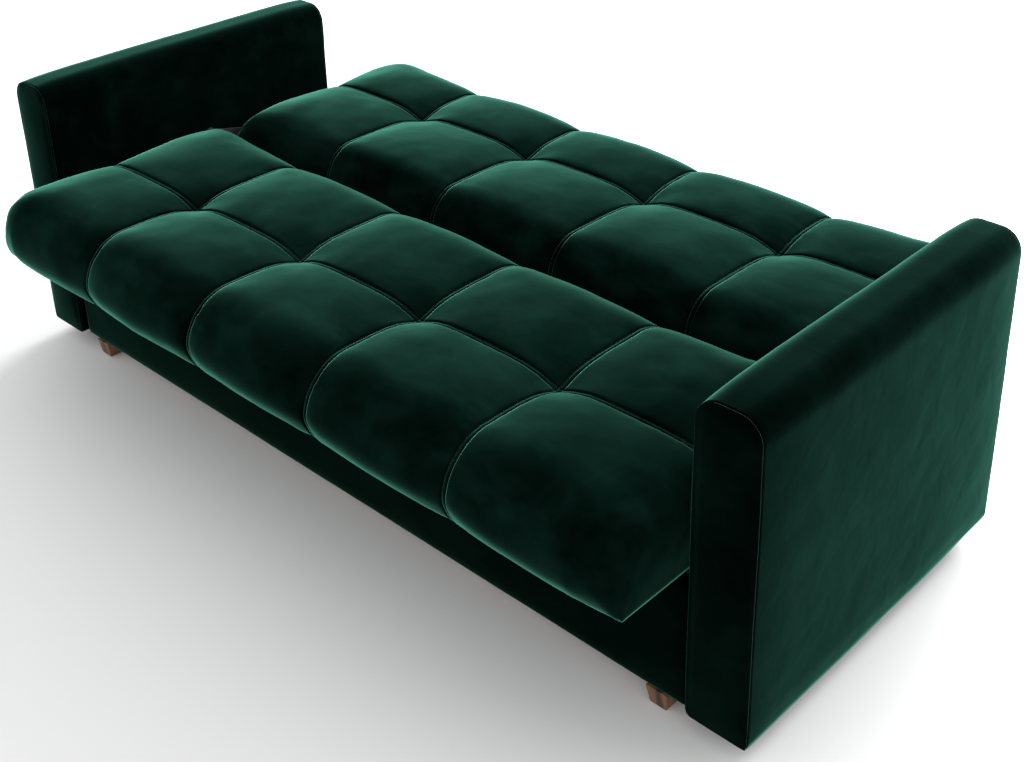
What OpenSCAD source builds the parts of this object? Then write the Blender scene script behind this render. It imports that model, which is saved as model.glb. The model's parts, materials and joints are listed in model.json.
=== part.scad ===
// Sofa bed with a tufted seat mat and back mat, shown unfolded as a bed.
// Millimetres, +Z up, +X to the right of the front view, -Y to the front.
// The origin is on the floor, under the middle of the unfolded bed.
// Outlines of the side parts are drawn in a plane whose first axis is Y and second axis is Z.

/* [Overall] */
// Clear width between the arms
inner_w = 1970; // [1400:10:2300]
// Height of the underside of both mats above the floor
mat_bottom = 341; // [300:1:420]
// How far the seat mat stands out in front of the arms as a bed
seat_overhang = 190; // [120:5:210]

/* [Mats] */
// Depth of the seat mat, front to rear
seat_d = 680; // [560:5:820]
// Depth of the back mat, front to rear
back_d = 620; // [520:5:760]
// Thickness of both mats
mat_t = 170; // [140:2:204]
// Gap between the two mats
mat_gap = 20; // [18:1:30]
// Gap between a mat's end and the arm
mat_side_gap = 15; // [15:1:22]
// Corner radius of a mat seen from above
mat_corner_r = 40; // [20:1:60]
// Radius of a mat's upper outer edge
mat_edge_r = 52; // [30:1:60]
// Radius of the seat mat's upper rear edge
seat_rear_r = 46; // [35:1:60]
// Radius of a mat's lower edge
mat_hem_r = 10; // [4:1:16]
// Foam left over the frame and springs
foam_top = 88; // [60:1:110]
// Foam along the mats' long free edges
foam_edge = 60; // [30:1:80]
// Padding at the mats' ends
foam_end = 6; // [4:1:12]

/* [Mat frames] */
// Height of the frame rails
rail_h = 60; // [45:1:70]
// Thickness of the frame rails
rail_t = 24; // [18:1:32]
// Number of cross rails in each mat
cross_rails = 3; // [1:1:5]
// Thickness of the lining under the mats
lining_t = 2; // [1:0.5:3]
// Number of wave springs in each mat
spring_count = 8; // [4:2:12]
// Half thickness of the spring wire
wire_r = 2; // [1.5:0.1:2.5]
// Number of half waves in one spring
spring_waves = 8; // [6:1:12]
// Half width of a spring's wave
spring_reach = 40; // [20:1:60]

/* [Arms] */
// Thickness of an arm
arm_w = 135; // [100:1:200]
// Depth of an arm, front to rear
arm_d = 866; // [780:2:1000]
// Height of an arm's top above the floor
arm_top = 716; // [560:2:780]
// Height of an arm's underside above the floor
arm_bottom = 42; // [40:1:80]
// Radius of an arm's top shoulders
shoulder_r = 62; // [30:1:66]
// Radius of an arm's lower inner edge
arm_in_r = 20; // [5:1:30]
// Radius of an arm's lower outer edge
arm_out_r = 10; // [5:1:20]
// Padding on an arm's sides, front and rear
arm_pad = 12; // [6:1:16]
// Foam over the top of an arm's frame
arm_top_pad = 58; // [50:1:70]
// Thickness of the boards of an arm
arm_board = 16; // [12:1:20]

/* [Base box] */
// How far the base front stands behind the arm fronts
base_recess = 13; // [10:1:60]
// How far the base rear stands in front of the arm rears
base_rear_recess = 4; // [0:1:40]
// Height of the top of the front and rear panels above the floor
base_top = 322; // [280:1:325]
// Height of the top of the side panels above the floor
side_top = 288; // [240:1:292]
// Thickness of the box panels
panel_t = 18; // [12:1:22]
// Padding on the base front
front_pad = 8; // [5:1:14]
// Radius of the front cover's upright and lower edges
front_r = 12; // [4:1:20]
// Gap between the front cover and an arm
front_side_gap = 3; // [2:1:6]
// Thickness of the bottom sheet
bottom_t = 4; // [3:1:8]
// Width of a batten under the bottom sheet
batten_w = 60; // [40:1:90]
// Number of battens under the bottom sheet
battens = 3; // [1:2:5]
// Side of a square foot plate
foot_plate = 130; // [90:1:160]

/* [Feet] */
// Height of a foot
foot_h = 41; // [30:1:50]
// Side of a foot at its top
foot_top_w = 51; // [40:1:70]
// Side of a foot at the floor
foot_floor_w = 38; // [30:1:60]
// From the middle of a foot to the inner face of the arm
foot_inset = 72; // [50:1:120]
// From a base face to the middle of a foot
foot_setback = 28; // [27:1:60]

/* [Mechanism] */
// Width of the channel between the box and an arm
channel = 20; // [20:1:26]
// Length of a link between its two pivots
link_l = 160; // [133:1:170]
// Lean of the links from upright at either stop
link_lean = 35; // [28:1:38]
// Width of a link
link_w = 24; // [20:1:30]
// Thickness of a link
link_t = 4; // [3:0.5:5]
// Thickness of the plate on the box
base_plate_t = 3; // [2:0.5:4]
// Thickness of a swing bracket
bracket_t = 4; // [3:0.5:5]
// Thickness of the plates on the mats' ends
end_plate_t = 3; // [2:0.5:4]
// Gap between plates that move past each other
plate_gap = 1; // [0.5:0.1:2]
// Radius of the link pins
pin_r = 5; // [4:0.5:7]
// Radius of the mat hinge bolts
hinge_r = 6; // [5:0.5:8]
// Radial clearance of a turning joint
run_gap = 0.05; // [0.02:0.01:0.1]
// Radial clearance of the rear links' upper joint
open_gap = 0.1; // [0.05:0.01:0.4]
// From the underside of the mats down to the upper link pivots
pivot_drop = 28; // [26:1:34]
// Distance between the front and rear links
link_span = 400; // [340:5:440]
// From the arm fronts to the front links' lower pivot
link_setback = 220; // [200:5:260]
// Outer radius of the torsion tube
tube_r = 12; // [8:1:14]
// Wall of the torsion tube
tube_wall = 2; // [1:0.5:3]
// From the seat mat's rear end forward to its hinge
seat_hinge_in = 40; // [30:1:50]
// From the mats' underside up to the seat hinge
seat_hinge_up = 120; // [110:1:130]

/* [Hidden] */
$fn = 48;

// Colours
velvet = "#123d30";
board = "#c8a878";
beech = "#8a5a34";
steel = "#8f9498";
zinc = "#b9bcbe";
cloth = "#1c1c1e";

// Widths across the sofa, as half-widths from the middle
inner_x = inner_w / 2;
outer_x = inner_x + arm_w;
box_x = inner_x - channel;
mat_x = inner_x - mat_side_gap;
front_x = inner_x - front_side_gap;

// Layers of the mechanism in the channel, from the box outwards
base_plate_x = box_x;
link_x = base_plate_x + base_plate_t + plate_gap;
pin_head_t = 2;
pin_head_out = 3;
head_gap = 0.5;
end_plate_x = mat_x;
bracket_x = end_plate_x + end_plate_t + 3 * plate_gap;
bracket_out_x = bracket_x + bracket_t;
bolt_head_t = 3;
shoulder_out = 5;
touch_gap = 0.3;

// Depths along the unfolded bed
bed_d = seat_d + mat_gap + back_d;
seat_y0 = -bed_d / 2;
seat_y1 = seat_y0 + seat_d;
back_y0 = seat_y1 + mat_gap;
back_y1 = back_y0 + back_d;
arm_y0 = seat_y0 + seat_overhang;
arm_y1 = arm_y0 + arm_d;
base_y0 = arm_y0 + base_recess;
base_y1 = arm_y1 - base_rear_recess;
rear_cloth_t = 4;
cover_turn = 6;
panel_y0 = base_y0 + front_pad;
box_y0 = panel_y0 + panel_t;
rear_panel_y = base_y1 - rear_cloth_t - panel_t;

// Heights
mat_top = mat_bottom + mat_t;
rail_z = mat_bottom + lining_t;
pocket_top = mat_top - foam_top;
box_floor = foot_h + panel_t + bottom_t;
panel_z0 = foot_h + cover_turn;

// Frame pockets in the mats, with thinner foam where the two mats meet
foam_meet = 20;
hinge_to_pocket = 10;
back_foam_edge = 40;
seat_pocket = [seat_y0 + foam_edge, seat_y1 - foam_meet];
back_pocket = [back_y0 + mat_t / 2 + hinge_to_pocket, back_y1 - back_foam_edge];
pocket_x = mat_x - foam_end;

// Pivots as [y, z]
lower_z = mat_bottom - pivot_drop - link_l * cos(link_lean);
front_low = [arm_y0 + link_setback, lower_z];
rear_low = front_low + [link_span, 0];
lean_step = link_l * [-sin(link_lean), cos(link_lean)];
front_up = front_low + lean_step;
rear_up = rear_low + lean_step;
seat_hinge = [seat_y1 - seat_hinge_in, mat_bottom + seat_hinge_up];
back_hinge = [back_y0 + mat_t / 2, mat_bottom + mat_t / 2];
tube_shift = 50;
tube_at = (front_up + rear_up) / 2 + [tube_shift, 0];
brace_w = 26;
boss_w = 36;

// Fasteners
screw_r = 2;
screw_head_r = 4.5;
screw_head_t = 1.5;
screw_l = 14;
bolt_r = 4;
bolt_washer_r = 12;
bolt_washer_t = 3;
fit_gap = 0.1;

// Plate on the box: a bar that holds both lower pins and the four stops
plate_h = 66;
plate_end = 62;
plate_drop = 24;
plate_low = lower_z - plate_drop;
plate_corner_r = 8;
stop_r = 5;
stop_up = 45;
screw_outside = 50;
screw_inside = 80;
screw_drop = 14;
plate_screws = [front_low - [screw_outside, screw_drop], front_low + [screw_inside, -screw_drop],
                rear_low - [screw_inside, screw_drop], rear_low + [screw_outside, -screw_drop]];

// Plates on the mats' ends
end_bar_w = 30;
end_boss_w = 36;
end_bar_z = rail_z + rail_h / 2;
end_bend = 60;
end_reach = 200;
end_screws = [75, 130, 190];
seat_plate_pts = [seat_hinge, [seat_hinge[0] - end_bend, end_bar_z], [seat_hinge[0] - end_reach, end_bar_z]];
back_plate_pts = [back_hinge, [back_hinge[0] + end_bend, end_bar_z], [back_hinge[0] + end_reach, end_bar_z]];
seat_screws = [for (s = end_screws) [seat_hinge[0] - s, end_bar_z]];
back_screws = [for (s = end_screws) [back_hinge[0] + s, end_bar_z]];

// Arm bolts and spacers as [y, z]
spacer_w = 60;
spacer_up = 40;
spacer_in = 60;
spacer_z = foot_h + spacer_up;
arm_bolt_z = spacer_z + spacer_w / 2;
arm_bolt_pts = [for (y = [box_y0 + spacer_in, (box_y0 + rear_panel_y) / 2, rear_panel_y - spacer_in])
    [y, arm_bolt_z]];

// Draws a side outline, whose axes are Y and Z, as a plate from x to x + t
module side_plate(x, t) {
    translate([x, 0, 0]) rotate([90, 0, 90]) linear_extrude(t) children();
}

// A rod along X through a side point
module side_rod(x, l, p, r) {
    translate([x, p[0], p[1]]) rotate([0, 90, 0]) cylinder(r = r, h = l);
}

module both_sides() {
    children();
    mirror([1, 0, 0]) children();
}

// A box from one corner to the other
module block(lo, hi) {
    translate(lo) cube(hi - lo);
}

// A straight bar with square ends between two points of an outline
module bar(a, b, w) {
    d = b - a;
    translate(a) rotate(atan2(d[1], d[0])) translate([0, -w / 2]) square([norm(d), w]);
}

module disc(p, w) {
    translate(p) circle(d = w);
}

// The one or two points that a corner of an outline starts and ends with
function corner(p, r, from, to) = r > 0 ? [p + r * from, p + r * to] : [p];

// An outline from lo to hi with corner radii [low left, low right, high right, high left]
module rounded(lo, hi, r) {
    polygon(concat(
        corner(lo, r[0], [0, 1], [1, 0]),
        corner([hi[0], lo[1]], r[1], [-1, 0], [0, 1]),
        corner(hi, r[2], [0, -1], [-1, 0]),
        corner([lo[0], hi[1]], r[3], [1, 0], [0, -1])
    ));
    if (r[0] > 0) translate(lo + [r[0], r[0]]) circle(r[0]);
    if (r[1] > 0) translate([hi[0] - r[1], lo[1] + r[1]]) circle(r[1]);
    if (r[2] > 0) translate(hi - [r[2], r[2]]) circle(r[2]);
    if (r[3] > 0) translate([lo[0] + r[3], hi[1] - r[3]]) circle(r[3]);
}

// --- Base box ---

module base_front_panel() {
    color(board) block([-front_x + front_pad, panel_y0, panel_z0],
                       [front_x - front_pad, box_y0, base_top - cover_turn]);
}

cover_rear_r = 2;
cover_top_r = 6;

module base_front_cover() {
    color(velvet) difference() {
        intersection() {
            translate([0, 0, foot_h]) linear_extrude(base_top - foot_h)
                rounded([-front_x, base_y0], [front_x, box_y0],
                        [front_r, front_r, cover_rear_r, cover_rear_r]);
            translate([0, box_y0, 0]) rotate([90, 0, 0]) linear_extrude(box_y0 - base_y0)
                rounded([-front_x, foot_h], [front_x, base_top],
                        [front_r, front_r, cover_top_r, cover_top_r]);
        }
        base_front_panel();
    }
}

module base_rear_panel() {
    color(board) block([-box_x + rear_cloth_t, rear_panel_y, foot_h],
                       [box_x - rear_cloth_t, rear_panel_y + panel_t, base_top]);
}

// Covers the rear panel's outer face and both its ends
module base_rear_cover() {
    color(velvet) difference() {
        block([-box_x, rear_panel_y, foot_h], [box_x, base_y1, base_top]);
        base_rear_panel();
    }
}

module base_right_panel() {
    color(board) difference() {
        block([box_x - panel_t, box_y0, foot_h], [box_x, rear_panel_y, side_top]);
        for (p = arm_bolt_pts) side_rod(box_x - panel_t - 1, panel_t + 2, p, bolt_r + fit_gap);
        for (p = plate_screws) side_rod(box_x - screw_l, screw_l + 1, p, screw_r + fit_gap);
    }
}

module base_left_panel() {
    mirror([1, 0, 0]) base_right_panel();
}

module base_bottom_sheet() {
    color(board) block([-box_x + panel_t, box_y0, box_floor - bottom_t],
                       [box_x - panel_t, rear_panel_y, box_floor]);
}

module base_battens() {
    reach = box_x - panel_t - foot_plate;
    color(board) for (i = [0 : battens - 1]) {
        x = battens == 1 ? 0 : (i / (battens - 1) - 0.5) * reach;
        block([x - batten_w / 2, box_y0, foot_h], [x + batten_w / 2, rear_panel_y, foot_h + panel_t]);
    }
}

// The foot plates reach forward and back far enough to take the foot bolts
module base_foot_plates() {
    x1 = box_x - panel_t;
    color(board) both_sides() difference() {
        union() {
            block([x1 - foot_plate, box_y0, foot_h], [x1, box_y0 + foot_plate, foot_h + panel_t]);
            block([x1 - foot_plate, rear_panel_y - foot_plate, foot_h],
                  [x1, rear_panel_y, foot_h + panel_t]);
        }
        for (y = [front_bolt_y, rear_bolt_y])
            translate([foot_x, y, 0]) cylinder(r = bolt_r + fit_gap, h = foot_h + panel_t + 1);
    }
}

// --- Feet ---

foot_x = inner_x - foot_inset;
front_foot_y = base_y0 + foot_setback;
rear_foot_y = base_y1 - foot_setback;
bolt_shift = 12;
front_bolt_y = front_foot_y + bolt_shift;
rear_bolt_y = rear_foot_y - bolt_shift;
foot_bolt_depth = 26;

// A square foot that tapers on all four sides, with its bolt hole
module foot(x, y, bolt_y) {
    taper = [[-foot_floor_w / 2, 0], [foot_floor_w / 2, 0],
             [foot_top_w / 2, foot_h], [-foot_top_w / 2, foot_h]];
    color(beech) difference() {
        translate([x, y, 0]) intersection() {
            translate([0, foot_top_w / 2, 0]) rotate([90, 0, 0]) linear_extrude(foot_top_w) polygon(taper);
            translate([-foot_top_w / 2, 0, 0]) rotate([90, 0, 90]) linear_extrude(foot_top_w) polygon(taper);
        }
        translate([x, bolt_y, foot_h - foot_bolt_depth])
            cylinder(r = bolt_r + fit_gap, h = foot_bolt_depth + 1);
    }
}

module front_left_foot() foot(-foot_x, front_foot_y, front_bolt_y);
module front_right_foot() foot(foot_x, front_foot_y, front_bolt_y);
module rear_left_foot() foot(-foot_x, rear_foot_y, rear_bolt_y);
module rear_right_foot() foot(foot_x, rear_foot_y, rear_bolt_y);

module foot_bolts() {
    color(zinc) both_sides() for (y = [front_bolt_y, rear_bolt_y])
        translate([foot_x, y, foot_h - foot_bolt_depth])
            cylinder(r = bolt_r, h = foot_bolt_depth + panel_t);
}

// --- Arms ---

arm_frame_x0 = inner_x + arm_pad;
arm_frame_x1 = outer_x - arm_pad;
dust_cloth_t = 3;
arm_frame_z0 = arm_bottom + dust_cloth_t;
arm_frame_z1 = arm_top - arm_top_pad;
arm_frame_y0 = arm_y0 + arm_pad;
arm_frame_y1 = arm_y1 - arm_pad;
arm_bolt_out = 8;
arm_bolt_end = arm_frame_x0 + arm_board + arm_bolt_out;

// Two side boards on a bottom board, held apart by three posts
module right_arm_frame() {
    post_reach = arm_frame_y1 - arm_frame_y0 - arm_board;
    color(board) difference() {
        union() {
            block([arm_frame_x0, arm_frame_y0, arm_frame_z0],
                  [arm_frame_x0 + arm_board, arm_frame_y1, arm_frame_z1]);
            block([arm_frame_x1 - arm_board, arm_frame_y0, arm_frame_z0],
                  [arm_frame_x1, arm_frame_y1, arm_frame_z1]);
            block([arm_frame_x0, arm_frame_y0, arm_frame_z0],
                  [arm_frame_x1, arm_frame_y1, arm_frame_z0 + arm_board]);
            for (i = [0 : 2]) {
                y = arm_frame_y0 + post_reach * i / 2;
                block([arm_frame_x0, y, arm_frame_z0], [arm_frame_x1, y + arm_board, arm_frame_z1]);
            }
        }
        for (p = arm_bolt_pts)
            side_rod(arm_frame_x0 - 1, arm_bolt_end - arm_frame_x0 + 2, p, bolt_r + fit_gap);
    }
}

module left_arm_frame() {
    mirror([1, 0, 0]) right_arm_frame();
}

module right_arm_cover() {
    color(velvet) difference() {
        translate([0, arm_y1, 0]) rotate([90, 0, 0]) linear_extrude(arm_d)
            rounded([inner_x, arm_bottom], [outer_x, arm_top], [arm_in_r, arm_out_r, shoulder_r, shoulder_r]);
        block([arm_frame_x0, arm_frame_y0, arm_bottom - 1], [arm_frame_x1, arm_frame_y1, arm_frame_z1]);
        for (p = arm_bolt_pts) side_rod(inner_x - 1, arm_pad + 2, p, bolt_r + fit_gap);
    }
}

module left_arm_cover() {
    mirror([1, 0, 0]) right_arm_cover();
}

module arm_dust_cloths() {
    color(cloth) both_sides()
        block([arm_frame_x0, arm_frame_y0, arm_bottom], [arm_frame_x1, arm_frame_y1, arm_frame_z0]);
}

module arm_spacers() {
    color(board) both_sides() for (p = arm_bolt_pts) difference() {
        block([box_x, p[0] - spacer_w / 2, spacer_z], [inner_x, p[0] + spacer_w / 2, spacer_z + spacer_w]);
        side_rod(box_x - 1, channel + 2, p, bolt_r + fit_gap);
    }
}

module arm_bolts() {
    head_x = box_x - panel_t - bolt_washer_t;
    color(zinc) both_sides() for (p = arm_bolt_pts) {
        side_rod(head_x, bolt_washer_t, p, bolt_washer_r);
        side_rod(head_x, arm_bolt_end - head_x, p, bolt_r);
    }
}

// --- Link mechanism: parts on the box ---

// A stop peg beside a link that leans by the given angle, forward or back
function stop_at(low, lean) =
    low + stop_up * [-sin(lean), cos(lean)]
    + sign(lean) * (link_w / 2 + stop_r + touch_gap) * [-cos(lean), -sin(lean)];

module right_base_plate() {
    color(steel) {
        difference() {
            side_plate(base_plate_x, base_plate_t)
                rounded([front_low[0] - plate_end, plate_low], [rear_low[0] + plate_end, plate_low + plate_h],
                        [for (i = [0 : 3]) plate_corner_r]);
            for (p = plate_screws) side_rod(base_plate_x - 1, base_plate_t + 2, p, screw_r + fit_gap);
            for (p = [front_low, rear_low])
                side_rod(base_plate_x - 1, base_plate_t + 2, p, pin_r + run_gap);
        }
        for (low = [front_low, rear_low], lean = [link_lean, -link_lean])
            side_rod(base_plate_x + base_plate_t, plate_gap + link_t, stop_at(low, lean), stop_r);
    }
}

module left_base_plate() {
    mirror([1, 0, 0]) right_base_plate();
}

module base_plate_screws() {
    x = base_plate_x + base_plate_t;
    color(zinc) both_sides() for (p = plate_screws) {
        side_rod(x, screw_head_t - plate_gap / 2, p, screw_head_r);
        side_rod(box_x - screw_l, screw_l + base_plate_t + 0.5, p, screw_r);
    }
}

// Rivets that turn in the links and are fast in the plate on the box
module lower_link_pins() {
    head_x = link_x + link_t + head_gap;
    color(zinc) both_sides() for (p = [front_low, rear_low]) {
        side_rod(base_plate_x, head_x - base_plate_x + pin_head_t, p, pin_r);
        side_rod(head_x, pin_head_t, p, pin_r + pin_head_out);
    }
}

// --- Link mechanism: links ---

module link(low, up, upper_gap) {
    color(steel) difference() {
        side_plate(link_x, link_t) {
            bar(low, up, link_w);
            disc(low, link_w);
            disc(up, link_w);
        }
        side_rod(link_x - 1, link_t + 2, low, pin_r + run_gap);
        side_rod(link_x - 1, link_t + 2, up, pin_r + upper_gap);
    }
}

module front_right_link() link(front_low, front_up, run_gap);
module rear_right_link() link(rear_low, rear_up, open_gap);
module front_left_link() mirror([1, 0, 0]) front_right_link();
module rear_left_link() mirror([1, 0, 0]) rear_right_link();

// --- Link mechanism: swing brackets that carry both mats ---

module right_bracket() {
    color(steel) difference() {
        side_plate(bracket_x, bracket_t) {
            bar(front_up, rear_up, link_w);
            bar(rear_up, back_hinge, brace_w);
            bar(tube_at, seat_hinge, brace_w);
            bar(seat_hinge, back_hinge, brace_w);
            disc(front_up, link_w);
            for (p = [rear_up, tube_at, seat_hinge, back_hinge]) disc(p, boss_w);
        }
        for (p = [front_up, rear_up]) side_rod(bracket_x - 1, bracket_t + 2, p, pin_r + run_gap);
        for (p = [seat_hinge, back_hinge]) side_rod(bracket_x - 1, bracket_t + 2, p, hinge_r + run_gap);
    }
}

module left_bracket() {
    mirror([1, 0, 0]) right_bracket();
}

// The tube ends against both brackets and makes them turn together
module torsion_tube() {
    color(steel) difference() {
        side_rod(-bracket_x, 2 * bracket_x, tube_at, tube_r);
        side_rod(-bracket_x - 1, 2 * bracket_x + 2, tube_at, tube_r - tube_wall);
    }
}

module upper_link_pins() {
    head_x = link_x - head_gap - pin_head_t;
    color(zinc) both_sides() for (p = [front_up, rear_up]) {
        side_rod(head_x, pin_head_t, p, pin_r + pin_head_out);
        side_rod(head_x, bracket_out_x - head_x, p, pin_r);
    }
}

// Shoulder bolts: the shoulder keeps the end plate off the bracket
module hinge_bolts() {
    shoulder_x = end_plate_x + end_plate_t + touch_gap;
    color(zinc) both_sides() for (p = [seat_hinge, back_hinge]) {
        side_rod(end_plate_x + touch_gap, bracket_out_x - end_plate_x - touch_gap, p, hinge_r);
        side_rod(shoulder_x, bracket_x - shoulder_x, p, hinge_r + shoulder_out);
        side_rod(bracket_out_x, bolt_head_t, p, hinge_r + shoulder_out);
    }
}

// --- Mats ---

// The plan outline of a mat, with round corners, over its whole height
module mat_plan(y0, y1) {
    r = mat_corner_r;
    translate([0, 0, mat_bottom - 1]) linear_extrude(mat_t + 2)
        rounded([-mat_x, y0], [mat_x, y1], [r, r, r, r]);
}

// The space for the frame, springs and lining, open downwards
module mat_pocket(span) {
    block([-pocket_x, span[0], mat_bottom - 2], [pocket_x, span[1], pocket_top]);
}

module plate_screw_holes(points) {
    both_sides() for (p = points) side_rod(mat_x - screw_l, screw_l + 1, p, screw_r + fit_gap);
}

module seat_cushion() {
    color(velvet) difference() {
        intersection() {
            side_plate(-mat_x, 2 * mat_x)
                rounded([seat_y0, mat_bottom], [seat_y1, mat_top],
                        [mat_hem_r, mat_hem_r, seat_rear_r, mat_edge_r]);
            mat_plan(seat_y0, seat_y1);
        }
        mat_pocket(seat_pocket);
        plate_screw_holes(seat_screws);
    }
}

// The edge next to the seat is a full half-round about the back's hinge
module back_cushion() {
    color(velvet) difference() {
        intersection() {
            side_plate(-mat_x, 2 * mat_x) {
                translate(back_hinge) circle(d = mat_t);
                rounded([back_hinge[0], mat_bottom], [back_y1, mat_top], [0, mat_hem_r, mat_edge_r, 0]);
            }
            mat_plan(back_y0, back_y1);
        }
        mat_pocket(back_pocket);
        plate_screw_holes(back_screws);
    }
}

// Rails on edge round the pocket, with cross rails from front to rear
module mat_frame(span, screws) {
    z1 = rail_z + rail_h;
    color(board) difference() {
        union() {
            block([-pocket_x, span[0], rail_z], [pocket_x, span[0] + rail_t, z1]);
            block([-pocket_x, span[1] - rail_t, rail_z], [pocket_x, span[1], z1]);
            both_sides() block([pocket_x - rail_t, span[0], rail_z], [pocket_x, span[1], z1]);
            for (i = [1 : cross_rails]) {
                x = pocket_x * (2 * i / (cross_rails + 1) - 1);
                block([x - rail_t / 2, span[0], rail_z], [x + rail_t / 2, span[1], z1]);
            }
        }
        plate_screw_holes(screws);
    }
}

// A point at share t along a wave spring's middle line, moved sideways by half its wire
function wave_point(t, l, side) =
    let (turn = 180 * spring_waves * t,
         slope = spring_reach * PI * spring_waves / l * cos(turn))
    [spring_reach * sin(turn), t * l] + side * wire_r * [1, -slope] / norm([1, slope]);

// One wave spring, bent to a sine wave across the mat, of flattened wire
module wave_spring(x, span) {
    l = span[1] - span[0] - rail_t;
    steps = spring_waves * 6;
    translate([x, span[0] + rail_t / 2, rail_z + rail_h]) linear_extrude(2 * wire_r)
        polygon(concat(
            [for (i = [0 : steps]) wave_point(i / steps, l, 1)],
            [for (i = [steps : -1 : 0]) wave_point(i / steps, l, -1)]
        ));
}

// The springs stand on the frame rails and fill the bays between the cross rails
module mat_springs(span) {
    step = 2 * pocket_x / spring_count;
    color(zinc) for (i = [0 : spring_count - 1])
        wave_spring(-pocket_x + (i + 0.5) * step, span);
}

module mat_lining(span) {
    color(cloth) block([-pocket_x, span[0], mat_bottom], [pocket_x, span[1], rail_z]);
}

module mat_end_plates(points, screws) {
    color(steel) both_sides() difference() {
        side_plate(end_plate_x, end_plate_t) {
            bar(points[0], points[1], end_bar_w);
            bar(points[1], points[2], end_bar_w);
            for (p = points) disc(p, end_boss_w);
        }
        side_rod(end_plate_x - 1, end_plate_t + 2, points[0], hinge_r + run_gap);
        for (p = screws) side_rod(end_plate_x - 1, end_plate_t + 2, p, screw_r + fit_gap);
    }
}

module mat_plate_screws(screws) {
    color(zinc) both_sides() for (p = screws) {
        side_rod(mat_x - screw_l, screw_l + end_plate_t, p, screw_r);
        side_rod(end_plate_x + end_plate_t, screw_head_t, p, screw_head_r);
    }
}

module seat_frame() mat_frame(seat_pocket, seat_screws);
module seat_springs() mat_springs(seat_pocket);
module seat_lining() mat_lining(seat_pocket);
module seat_end_plates() mat_end_plates(seat_plate_pts, seat_screws);
module seat_plate_screws() mat_plate_screws(seat_screws);
module back_frame() mat_frame(back_pocket, back_screws);
module back_springs() mat_springs(back_pocket);
module back_lining() mat_lining(back_pocket);
module back_end_plates() mat_end_plates(back_plate_pts, back_screws);
module back_plate_screws() mat_plate_screws(back_screws);

base_front_panel();
base_rear_panel();
base_left_panel();
base_right_panel();
base_bottom_sheet();
base_battens();
base_foot_plates();
base_front_cover();
base_rear_cover();
front_left_foot();
front_right_foot();
rear_left_foot();
rear_right_foot();
foot_bolts();
left_arm_frame();
right_arm_frame();
left_arm_cover();
right_arm_cover();
arm_dust_cloths();
arm_spacers();
arm_bolts();
left_base_plate();
right_base_plate();
base_plate_screws();
lower_link_pins();
front_left_link();
front_right_link();
rear_left_link();
rear_right_link();
left_bracket();
right_bracket();
torsion_tube();
upper_link_pins();
hinge_bolts();
seat_cushion();
seat_frame();
seat_springs();
seat_lining();
seat_end_plates();
seat_plate_screws();
back_cushion();
back_frame();
back_springs();
back_lining();
back_end_plates();
back_plate_screws();
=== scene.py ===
"""Looks of the sofa bed: tufted velvet mats, padded arms and base, wooden feet, light and camera."""

import json
import math

import bpy
import numpy as np
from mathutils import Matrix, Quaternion, Vector, noise


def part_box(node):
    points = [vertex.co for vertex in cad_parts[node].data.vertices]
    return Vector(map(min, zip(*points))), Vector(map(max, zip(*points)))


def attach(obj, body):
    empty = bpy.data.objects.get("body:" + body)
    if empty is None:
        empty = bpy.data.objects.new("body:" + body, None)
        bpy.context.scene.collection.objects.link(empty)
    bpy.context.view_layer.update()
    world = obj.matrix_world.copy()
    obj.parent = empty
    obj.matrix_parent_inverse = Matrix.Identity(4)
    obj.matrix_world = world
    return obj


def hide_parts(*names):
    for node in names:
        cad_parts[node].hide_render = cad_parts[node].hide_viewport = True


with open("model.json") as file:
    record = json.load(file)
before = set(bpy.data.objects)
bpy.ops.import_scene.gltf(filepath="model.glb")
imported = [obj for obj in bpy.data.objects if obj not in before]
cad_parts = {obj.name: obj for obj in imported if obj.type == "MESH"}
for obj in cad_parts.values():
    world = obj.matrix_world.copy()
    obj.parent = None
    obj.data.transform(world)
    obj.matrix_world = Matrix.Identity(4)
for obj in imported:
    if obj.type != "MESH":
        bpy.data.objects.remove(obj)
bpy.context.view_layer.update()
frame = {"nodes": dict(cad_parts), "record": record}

# --- Sizes, in metres ---

COLUMNS = 5  # panels along a mat
SEAM_STEP = 0.385  # distance between two column seams
BAND = 0.0052  # half the distance between the two stitch lines of a seam
TUFT_DIP = 0.025  # how far a seam crossing is drawn in
TUFT_REACH = 0.048  # how quickly that dip fades along the surface
CROWN_TOP = 0.023  # how far a panel stands over its seams, on top
CROWN_FRONT = 0.016  # the same on an outer long side
CROWN_SIDE = 0.006  # the same at the mats' inner sides
CROWN_END = 0.002  # the same at the mats' ends
END_IN = 0.0025  # the mats' ends stand this far inside the CAD mat's
END_SWELL = 0.002  # and this much further out where there are no hinge plates
PLATES_REACH = 0.27  # the hinge plates end this far from the middle of the bed
SEAM_DROP = 0.005  # from the top of the CAD mat down to the seams
HEM_TUCK = 0.024  # how far the lower edge of the seat mat's front is drawn in
REAR_TUCK = 0.010  # the same at the back mat's rear
TUCK_REACH = 0.075  # height over which that happens
END_DIP = 0.017  # how far the cross seam sinks where it meets the end
CORNER_DROP = 0.042  # how far the mats' upper corners sink
FRONT_DROP = 0.012  # the same at the front of the seat mat, which is rounder already
DROP_REACH = 0.15  # how far in from the end both reach
TOP_CORNER = 0.078  # front corner radius of the seat mat seen from above
REAR_CORNER = 0.055  # the same at the back mat's rear
INNER_CORNER = 0.016  # the same where the two mats meet
HEM_CORNER = 0.010  # radius of all these corners at the lower edge
END_EDGE = 0.060  # radius of the long upper edges where they reach the ends
HINGE_ROUND = 0.03  # a lower edge rounder than this turns about the hinge

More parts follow.
